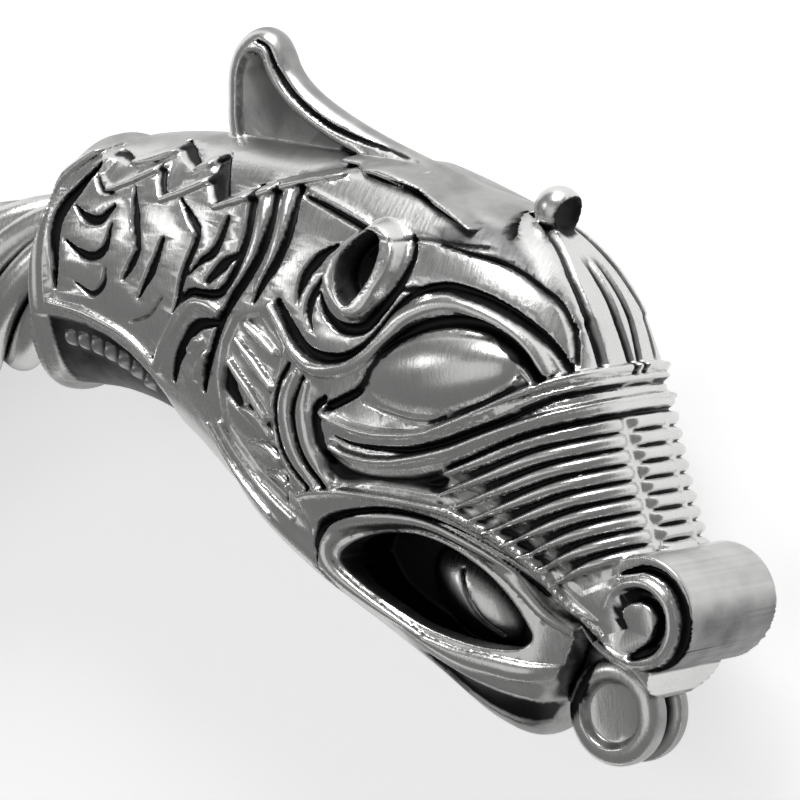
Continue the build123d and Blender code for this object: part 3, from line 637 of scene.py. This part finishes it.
# The crest, the eye and the forelock's knob
crest_in = outline_distance(closed_line(CREST), 4.5) * UNIT
crest_edge = np.maximum(CREST_HALF_THICKNESS - crest_in, 0)
crest_panel = inside_edge(crest_in / UNIT - CREST_RIM, CREST_RIM_EDGE)
crest_cut = highest(CREST_GROOVE)
crest_low = CREST_PANEL_DEPTH * crest_panel + crest_cut - highest(CREST_BEAD)
eye_along, eye_beside = turned(EYE, EYE_SLANT)
eye_flat = (np.abs(eye_along) / EYE_HALF[0]) ** 1.7 + (np.abs(eye_beside) / EYE_HALF[1]) ** 2
knob_flat = from_centre(KNOB)
knob_hollow = from_centre(KNOB_HOLLOW)

# The nose roll and the curled tongue
roll_flat = from_centre(ROLL)
on_roll = inside_edge(ROLL_RADIUS - roll_flat, 0.4)
roll_cut = highest(SPIRAL, SPIRAL_OUTSIDE, SPIRAL_EDGE)
roll_face = highest(SPIRAL_RING) - roll_cut
tongue_flat = from_centre(TONGUE)
tongue_dish = inside_edge(TONGUE_DISH * TONGUE_RADIUS - tongue_flat, 0.4)
tongue_dish *= TONGUE_DISH_DEPTH * (1 - 0.4 * (tongue_flat / TONGUE_RADIUS) ** 2)

# The mouth, the wall down its middle and the tongue in it
mouth_in = outline_distance(closed_line(MOUTH), 6) * UNIT
opening_in = outline_distance(closed_line(OPENING), 4) * UNIT
mouth_half = np.interp(grid_x, MOUTH_PLACES, MOUTH_HALVES)
web_in = outline_distance(WEB, 3) * UNIT
body_along, body_beside = turned(TONGUE_BODY, TONGUE_BODY_SLANT)
body_flat = (body_along / TONGUE_BODY_HALF[0]) ** 2 + (body_beside / TONGUE_BODY_HALF[1]) ** 2
tongue_crease = highest(TONGUE_CREASE)

# The socket for the ring's body and the end of the collar
centre_x = BODY_ENTRY[0] * UNIT
centre_y = BODY_ENTRY[1] * UNIT - RING_RADIUS
socket_angle = (((COLLAR_TOP[0] + COLLAR_LOW[0]) / 2 - BODY_ENTRY[0]) * UNIT
                + SOCKET_DEPTH) / RING_RADIUS
ring_flat = np.hypot(grid_x * UNIT - centre_x, grid_y * UNIT - centre_y) - RING_RADIUS
ring_angle = np.arctan2(grid_x * UNIT - centre_x, grid_y * UNIT - centre_y)
socket_ahead = (ring_angle - socket_angle) * RING_RADIUS
collar_dx, collar_dy = COLLAR_TOP[0] - COLLAR_LOW[0], COLLAR_TOP[1] - COLLAR_LOW[1]
behind_collar = ((grid_x - COLLAR_LOW[0]) * collar_dy - (grid_y - COLLAR_LOW[1]) * collar_dx)
behind_collar *= -UNIT / hypot(collar_dx, collar_dy)


# Carving one head

def joined(a, b, fillet):
    """Union of two distances with a fillet where they meet."""
    blend = np.clip(0.5 + 0.5 * (b - a) / fillet, 0, 1)
    return b + (a - b) * blend - fillet * blend * (1 - blend)


def rounded_roll(radius_map, radius, z, half, rounding):
    """Distance to a cylinder across the head with rounded ends."""
    dr, dz = radius_map - radius + rounding, z - half + rounding
    outside = np.hypot(np.maximum(dr, 0), np.maximum(dz, 0))
    return outside + np.minimum(np.maximum(dr, dz), 0) - rounding


def head_slice(z):
    """Distance to the head over the side view at height z."""
    bare = inside_edge(z - BARE_FROM, BARE_EDGE) * inside_edge(BARE_TO - z, BARE_EDGE)
    head = joined(body_distance(skull_maps, z), body_distance(jaw_maps, z), JAW_FILLET)
    head += bridge_cut * eased(1.3 - np.abs(z - bridge_z) / FLUTE_HALF)
    head += flute_cut * eased(1.3 - np.abs(z - flute_z) / FLUTE_HALF)
    head -= carving + ribs * (1 - bare)
    crest = np.maximum(np.hypot(crest_edge, z) - CREST_HALF_THICKNESS,
                       z - CREST_HALF_THICKNESS + crest_low)
    head = joined(head, crest, CREST_FILLET)
    ball = np.sqrt(eye_flat + ((z - EYE_REACH + EYE_HALF_DEPTH) / EYE_HALF_DEPTH) ** 2)
    head = joined(head, (ball - 1) * EYE_HALF_DEPTH, EYE_FILLET)
    knob = np.maximum(np.hypot(knob_flat, z) - KNOB_RADIUS * UNIT,
                      KNOB_HOLLOW_RADIUS * UNIT - np.hypot(knob_hollow, z * KNOB_HOLLOW_SHARE))
    head = joined(head, knob, KNOB_FILLET)
    hollow_mouth = np.minimum(np.maximum(-mouth_in, z - mouth_half), -opening_in)
    head = -joined(-head, hollow_mouth, MOUTH_FILLET)
    web = np.maximum(-web_in, z - WEB_HALF)
    head = joined(head, web, MOUTH_FILLET)
    tongue_body = np.sqrt(body_flat + (z / TONGUE_BODY_DEPTH) ** 2)
    head = joined(head, (tongue_body - 1) * TONGUE_BODY_DEPTH + tongue_crease,
                  TONGUE_BODY_FILLET)
    roll = rounded_roll(roll_flat, ROLL_RADIUS - ROLL_TRIM, z, ROLL_HALF + SPIRAL_RISE,
                        ROLL_ROUND)
    roll = np.maximum(roll, z - ROLL_HALF - roll_face * on_roll)
    head = joined(head, roll, ROLL_FILLET)
    groove = TONGUE_GROOVE_DEPTH * eased(1.5 - z / TONGUE_GROOVE_HALF)
    tongue = rounded_roll(tongue_flat, TONGUE_RADIUS - TONGUE_TRIM - groove, z, TONGUE_HALF,
                          TONGUE_ROUND)
    tongue = np.maximum(tongue, z - TONGUE_HALF + tongue_dish)
    head = joined(head, tongue, ROLL_FILLET)
    hole = np.maximum(np.hypot(ring_flat, z) - BODY_RADIUS - SOCKET_CLEARANCE, socket_ahead)
    head = np.maximum(head, -hole)
    return np.maximum(head, behind_collar)


field = np.stack([head_slice(z) for z in mm_z], axis=2).astype(np.float32)
field = np.concatenate([field[:, :, ::-1], field], axis=2)
first_cell = (mm_x[0], mm_y[0], -mm_z[-1])


def add_object(name, data):
    thing = bpy.data.objects.new(name, data)
    bpy.context.scene.collection.objects.link(thing)
    return thing


def mesh_of(name, points, corners_of_faces):
    mesh = bpy.data.meshes.new(name)
    mesh.from_pydata(points.tolist(), [], corners_of_faces.tolist())
    mesh.update()
    return mesh


def carved_mesh():
    """The surface of the field, with its flat parts made of larger triangles."""
    grid = openvdb.FloatGrid(background=3.0)
    grid.copyFromArray(np.clip(field / STEP, -3, 3))
    corners, triangles, quads = grid.convertToPolygons(isovalue=0.0, adaptivity=0.0)
    faces = np.concatenate([quads[:, [0, 1, 2]], quads[:, [0, 2, 3]], triangles])
    mesh = mesh_of("carved", np.array(corners) * STEP + first_cell, faces)
    holder = add_object("holder", mesh)
    modifier = holder.modifiers.new("fewer", "DECIMATE")
    modifier.ratio = min(1, MOST_TRIANGLES / len(mesh.polygons))
    depsgraph = bpy.context.evaluated_depsgraph_get()
    result = bpy.data.meshes.new_from_object(holder.evaluated_get(depsgraph))
    bpy.data.objects.remove(holder)
    return result


def numbers(things, label, kind):
    """One property of all vertices or polygons of a mesh, three numbers each."""
    values = np.zeros(len(things) * 3, kind)
    things.foreach_get(label, values)
    return values.reshape(-1, 3)


carved = carved_mesh()
points = numbers(carved.vertices, "co", np.float32)
normals = numbers(carved.vertices, "normal", np.float32)
polygons = numbers(carved.polygons, "vertices", np.int32)
# the faces are turned to point outward
face_corners = points[polygons]
facing = np.cross(face_corners[:, 1] - face_corners[:, 0], face_corners[:, 2] - face_corners[:, 0])
if (face_corners[:, 0] * facing).sum() < 0:
    polygons = polygons[:, ::-1]
    normals = -normals


# How black each point of the head is

def blurred(values, radius):
    """A field of three axes, averaged over a box of that many cells each way."""
    for axis in range(values.ndim):
        pad = [(0, 0)] * values.ndim
        pad[axis] = (radius + 1, radius)
        total = np.cumsum(np.pad(values, pad, mode="edge"), axis=axis, dtype=np.float32)
        size = values.shape[axis]
        later = np.take(total, np.arange(2 * radius + 1, 2 * radius + 1 + size), axis=axis)
        values = (later - np.take(total, np.arange(size), axis=axis)) / (2 * radius + 1)
    return values


def read_at(values, cells):
    """A field or a map, read between its cells: cells holds one row of places for each axis."""
    cells = [np.clip(row, 0, size - 1.001) for row, size in zip(cells, values.shape)]
    low = [row.astype(int) for row in cells]
    total = 0
    for corner in product((0, 1), repeat=values.ndim):
        weight = 1
        for step, row, base in zip(corner, cells, low):
            weight = weight * (row - base if step else 1 - row + base)
        total = total + weight * values[tuple(base + step for base, step in zip(low, corner))]
    return total


def hollow(radius, lift):
    """The filled share of a box round each point."""
    cell = 2 * STEP
    near = blurred(filled, max(1, round(radius / cell)))
    return read_at(near, ((points + normals * lift - first_cell) / cell).T)


def at_points(values):
    """A map of the side view, read at the points of the head."""
    return read_at(values, ((points[:, :2] - first_cell[:2]) / STEP).T)


def cut_black(cut, line, z_map):
    """How black a groove over the nose is."""
    return (at_points(cut) / line.height
            * eased(1.4 - np.abs(across - at_points(z_map)) / FLUTE_HALF))


filled = (field[::2, ::2, ::2] < 0).astype(np.float32)
across = np.abs(points[:, 2])
forward, outward = points[:, 0] / UNIT, points[:, 1] / UNIT
turned_from_side = fade(np.abs(normals[:, 2]), 0.8, 0.4)

# painted shade: the inside of the mouth is black, but for the lit front of the tongue
inside_mouth = np.maximum(at_points(mouth_in) + 0.5, at_points(opening_in) + 0.1)
inside_mouth = fade(inside_mouth, 0, 0.4) * fade(at_points(mouth_half) - across, -0.42, 0.28)
tongue_front = (fade(at_points(body_flat), 1.1, 0.95) * fade(across, 0.8, 1.8)
                * fade(at_points(body_beside), -3, 3))
crease_black = tongue_front * fade(at_points(tongue_crease), 0, 0.15)

# so are the cuts and sunken plates on the sides, with painted shade on the forehead, the roll's
# spirals, the tongue's middle groove and the knob
on_crest = fade(across, CREST_HALF_THICKNESS, CREST_HALF_THICKNESS - 0.1)
panel_black = CREST_PANEL_SOOT * at_points(crest_panel) * (1 - turned_from_side) * on_crest
near_tongue = at_points(tongue_flat) < TONGUE_RADIUS + 0.3
from_hollow = (np.hypot(at_points(knob_hollow), across * KNOB_HOLLOW_SHARE)
               - KNOB_HOLLOW_RADIUS * UNIT)
cuts_black = np.maximum.reduce([
    at_points(carving_black) * fade(across, 1, 1.8),
    cut_black(bridge_cut, BRIDGE_GROOVE, bridge_z),
    cut_black(flute_cut, FLUTE_GROOVE, flute_z),
    (fade(at_points(roll_cut), 0.15, 0.45) * at_points(on_roll)
     * fade(across, ROLL_HALF - 1, ROLL_HALF - 0.7)),
    near_tongue * eased(1.5 - across / TONGUE_GROOVE_HALF),
    fade(at_points(crest_cut), 0.1, 0.3) * fade(across, 0.5, 0.8),
    panel_black,
    fade(from_hollow, 0.14, 0.04),
])

# painted shade: the back, the belly, the jaw's underside, the tongue ring's rims and the low
# side and ends of the roll are darker than the sides
back_or_belly = (fade(np.abs(at_points(skull_maps[0])), 0.66, 0.92) * fade(forward, 84, 80)
                 * turned_from_side)
jaw_share = at_points(jaw_maps[0])
under_jaw = fade(jaw_share, -0.2, -0.7) * (jaw_share < 2) * fade(forward, 52, 60)
below_roll = (ROLL[1] - outward) * UNIT / ROLL_RADIUS
low_on_roll = (fade(at_points(roll_flat), ROLL_RADIUS + 0.3, ROLL_RADIUS + 0.1)
               * np.maximum(fade(below_roll, -0.7, 0.3),
                            0.8 * fade(across / ROLL_HALF, 0.8, 1)) * turned_from_side)
painted_shade = np.maximum.reduce([back_or_belly, near_tongue * turned_from_side, under_jaw])

BLACKENING = {
    "fine_hollow": hollow(*FINE_HOLLOW),
    "wide_hollow": hollow(*WIDE_HOLLOW),
    # patina in the cuts, with painted shade in the mouth and on the parts turned from the side
    "black": np.maximum.reduce([inside_mouth * (1 - tongue_front), crease_black, cuts_black,
                                PAINTED_SHADE_SHARE * painted_shade, ROLL_PAINTED_SHADE_SHARE * low_on_roll]),
}

# Placing the heads on the ring, which leans on the eyes and on the back of its body
tongue_x, tongue_y = TONGUE[0] * UNIT - centre_x, TONGUE[1] * UNIT - centre_y
head_turn = -acos((GAP / 2 + TONGUE_RADIUS) / hypot(tongue_x, tongue_y))
head_turn -= atan2(tongue_y, tongue_x)
onto_ring = Matrix.Rotation(head_turn, 4, "Z") @ Matrix.Translation((-centre_x, -centre_y, 0))
eye_spot = onto_ring @ Vector((EYE[0] * UNIT, EYE[1] * UNIT, 0))
tilt = -asin((SOLID_EYE_REACH - BODY_RADIUS) / (RING_RADIUS - eye_spot.y))
core_low, core_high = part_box("core_rod")
shift = Vector((0, core_high[1] / MM - (RING_RADIUS * cos(tilt) + CORE_RADIUS),
                core_low[2] / MM - (RING_RADIUS * sin(tilt) - CORE_RADIUS)))
place = (Matrix.Scale(MM, 4) @ Matrix.Translation(shift) @ Matrix.Rotation(tilt, 4, "X")
         @ onto_ring)


def add_head(name, mirrored):
    """A head, placed where the node of that name is."""
    turn = np.array((Matrix.Diagonal((-1, 1, 1, 1)) if mirrored else Matrix()) @ place)
    placed = points @ turn[:3, :3].T + turn[:3, 3]
    mesh = mesh_of(name, placed, polygons[:, ::-1] if mirrored else polygons)
    mesh.polygons.foreach_set("use_smooth", np.ones(len(mesh.polygons), bool))
    for label, values in BLACKENING.items():
        mesh.attributes.new(label, "FLOAT", "POINT").data.foreach_set("value", values)
    head = add_object(name, mesh)
    mesh.materials.append(head_silver)
    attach(head, "root")
    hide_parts(name)


# Materials

# The black share below is patina in hollows together with painted shade.
PATINA_AND_SHADE_RANGE = (0.15, 0.85)  # how black a point is where the patina starts and is full
FINE_RANGE = (0.49, 0.66)  # filled share of the small box where it darkens
WIDE_RANGE = (0.56, 0.80)  # and of the large box
BRIGHT_SILVER = (0.72, 0.717, 0.71, 1)
PALE_SILVER = (0.60, 0.597, 0.59, 1)
BLACK_SILVER = (0.022, 0.022, 0.023, 1)
CLOUD_SCALE = 420  # of the noises, over a metre
SPECK_SCALE = 5200
SCRATCH_SCALE = 900
SCRATCH_STRETCH = (1.0, 7.0, 1.0)
DRIFT = 0.35  # how much the clouds shift the patina
POLISHED = 0.20  # roughness, and what scratches and patina add to it
SCRATCH_ROUGHNESS = 0.16
PATINA_ROUGHNESS = 0.22
BUMP_STRENGTH = 0.35
BUMP_DEPTH = 0.04  # mm
STRAND_DARK = 3.7  # mm from the body's centreline
STRAND_BRIGHT = 4.6
# painted shade on the strands towards the floor: full at the low height, none at the high
UNDER_LOW = 5.5  # mm over the floor
UNDER_HIGH = 10.5
UNDER_SHARE = 0.62


def node(tree, kind, inputs, **settings):
    """A new node with its settings, and with each input set to a value or linked to a socket."""
    made = tree.nodes.new("ShaderNode" + kind)
    for label, value in settings.items():
        setattr(made, label, value)
    for label, value in inputs.items():
        if isinstance(value, bpy.types.NodeSocket):
            tree.links.new(value, made.inputs[label])
        else:
            made.inputs[label].default_value = value
    return made


def compute(operation, *values, clamp=False):
    """A sum on numbers and sockets, of which the first is a socket."""
    return node(values[0].id_data, "Math", dict(enumerate(values)), operation=operation,
                use_clamp=clamp).outputs[0]


def ramp(value, low, high):
    """A smooth step from 0 where a socket's value is low to 1 where it is high."""
    return node(value.id_data, "MapRange", {"Value": value, "From Min": low, "From Max": high},
                interpolation_type="SMOOTHSTEP").outputs["Result"]


def mixed(share, a, b):
    """The colour at a share of the way from one to another."""
    return node(share.id_data, "Mix", {"Factor": share, 6: a, 7: b}, data_type="RGBA").outputs[2]


def silver(name, darkening_of):
    """Silver, satin on its faces and blackened, by patina and by painted shade, as far as its
    second argument says.
    """
    material = bpy.data.materials.new(name)
    material.use_nodes = True
    tree = material.node_tree
    tree.nodes.clear()
    where = node(tree, "TexCoord", {}).outputs["Object"]
    drawn = node(tree, "Mapping", {"Scale": SCRATCH_STRETCH, "Vector": where}).outputs[0]

    def noise(scale, detail, vector):
        return node(tree, "TexNoise", {"Vector": vector, "Scale": scale,
                                       "Detail": detail}).outputs["Fac"]

    cloud = noise(CLOUD_SCALE, 4.0, where)
    speck = noise(SPECK_SCALE, 2.0, where)
    scratch = noise(SCRATCH_SCALE, 3.0, drawn)
    drift = compute("MULTIPLY", compute("SUBTRACT", cloud, 0.5), DRIFT)
    patina_and_shade_share = ramp(compute("ADD", darkening_of(tree), drift), *PATINA_AND_SHADE_RANGE)
    rough = compute("ADD", compute("MULTIPLY", scratch, SCRATCH_ROUGHNESS), POLISHED)
    tarnish = compute("MULTIPLY", patina_and_shade_share, PATINA_ROUGHNESS)
    grain = compute("ADD", compute("MULTIPLY", scratch, 0.5), compute("MULTIPLY", cloud, 0.8))
    height = compute("ADD", compute("MULTIPLY", speck, 0.5), grain)
    bump = node(tree, "Bump", {"Strength": BUMP_STRENGTH, "Distance": BUMP_DEPTH * MM,
                               "Height": height})
    shader = node(tree, "BsdfPrincipled", {
        "Base Color": mixed(patina_and_shade_share, mixed(cloud, PALE_SILVER, BRIGHT_SILVER), BLACK_SILVER),
        "Metallic": 1.0,
        "Roughness": compute("ADD", rough, tarnish, clamp=True),
        "Normal": bump.outputs[0],
    })
    node(tree, "OutputMaterial", {"Surface": shader.outputs[0]})
    return material


def carved_darkening(tree):
    """How black a point of a head is, from the head's own attributes: patina by how deep it lies
    and in its cuts, and painted shade in the mouth and where the head turns from the side.
    """
    def read(label):
        return node(tree, "Attribute", {}, attribute_name=label).outputs["Fac"]

    fine = ramp(read("fine_hollow"), *FINE_RANGE)
    wide = ramp(read("wide_hollow"), *WIDE_RANGE)
    return compute("MAXIMUM", compute("MAXIMUM", fine, wide), read("black"))


def strand_darkening(tree):
    """The strands darken towards the body's centreline, which is a circle in the tilted ring, and
    with painted shade towards the floor."""
    def parts(vector):
        return node(tree, "SeparateXYZ", {0: vector}).outputs

    def length(a, b):
        return compute("SQRT", compute("ADD", compute("MULTIPLY", a, a), compute("MULTIPLY", b, b)))

    spot = node(tree, "NewGeometry", {}).outputs["Position"]
    centred = node(tree, "VectorMath", {0: spot, 1: shift * MM}, operation="SUBTRACT").outputs[0]
    level = node(tree, "VectorRotate", {"Vector": centred, "Angle": -tilt},
                 rotation_type="X_AXIS").outputs[0]
    x, y, z = parts(level)
    away = length(compute("SUBTRACT", length(x, y), RING_RADIUS * MM), z)
    inner = ramp(away, STRAND_BRIGHT * MM, STRAND_DARK * MM)
    # painted shade towards the floor
    lower = ramp(parts(spot)[2], UNDER_HIGH * MM, UNDER_LOW * MM)
    return compute("MAXIMUM", inner, compute("MULTIPLY", lower, UNDER_SHARE))


head_silver = silver("head_silver", carved_darkening)
body_silver = silver("body_silver", strand_darkening)
add_head("head_right", False)
add_head("head_left", True)
for name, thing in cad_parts.items():
    if name.startswith("strand") or name == "core_rod":
        thing.data.materials.clear()
        thing.data.materials.append(body_silver)

# Floor and the light from all round, in metres

FLOOR_HALF = 1.2
PAPER = {"Base Color": (0.9, 0.9, 0.9, 1), "Roughness": 0.9, "Specular IOR Level": 0.1,
         "Emission Color": (1, 1, 1, 1), "Emission Strength": 0.5}
STUDIO_GREY = (0.22, 0.22, 0.22, 1)

floor_corners = FLOOR_HALF * np.array([(-1, -1, 0), (1, -1, 0), (1, 1, 0), (-1, 1, 0)])
floor_mesh = mesh_of("floor", floor_corners, np.array([(0, 1, 2, 3)]))
paper = bpy.data.materials.new("paper")
paper.use_nodes = True
for label, value in PAPER.items():
    paper.node_tree.nodes["Principled BSDF"].inputs[label].default_value = value
floor_mesh.materials.append(paper)
add_object("floor", floor_mesh)

world = bpy.data.worlds.new("studio")
bpy.context.scene.world = world
world.use_nodes = True
world.node_tree.nodes["Background"].inputs["Color"].default_value = STUDIO_GREY

# Camera, at the photo's angle to the head: turned about the head's own upright, then rolled

CAMERA_TURN = radians(37)
CAMERA_ROLL = radians(7.5)
CAMERA_SPOT = (16.8, -10.1, 362.0)  # in mm to its side, upwards and back
FOCAL_PIXELS = 6125
SENSOR = 36.0
IMAGE_WIDTH = 800

turn = Matrix.Rotation(CAMERA_TURN, 3, "Y")
axes = place.to_3x3().normalized() @ turn @ Matrix.Rotation(-CAMERA_ROLL, 3, "Z")
camera_data = bpy.data.cameras.new("camera")
camera_data.sensor_width = SENSOR
camera_data.lens = FOCAL_PIXELS * SENSOR / IMAGE_WIDTH
camera_data.clip_start = 0.01
camera = add_object("camera", camera_data)
camera.matrix_world = (Matrix.Translation(place @ (turn @ Vector(CAMERA_SPOT)))
                       @ axes.to_4x4())
bpy.context.scene.camera = camera

# Square lights. A direction is in the image's own axes: to the right, up and towards the
# camera. Distances and sizes are in metres, powers in watts.

LIT_SPOT = (20, -10, 0)
SOFTBOXES = [
    Softbox("top_light", (-0.1, 1.0, 0.45), 0.45, 0.2, 1.7),
    Softbox("left_light", (-0.88, 0.32, 0.28), 0.5, 0.14, 0.16),
    Softbox("high_light", (-0.6, -0.08, 0.8), 0.6, 0.5, 0.45),
]

for softbox in SOFTBOXES:
    way = (axes @ Vector(softbox.direction)).normalized()
    light_data = bpy.data.lights.new(softbox.name, "AREA")
    light_data.shape = "SQUARE"
    light_data.size = softbox.size
    light_data.energy = softbox.power
    light = add_object(softbox.name, light_data)
    light.matrix_world = (Matrix.Translation(place @ Vector(LIT_SPOT) + way * softbox.distance)
                          @ way.to_track_quat("Z", "Y").to_matrix().to_4x4())

bpy.context.scene.view_settings.view_transform = "Standard"
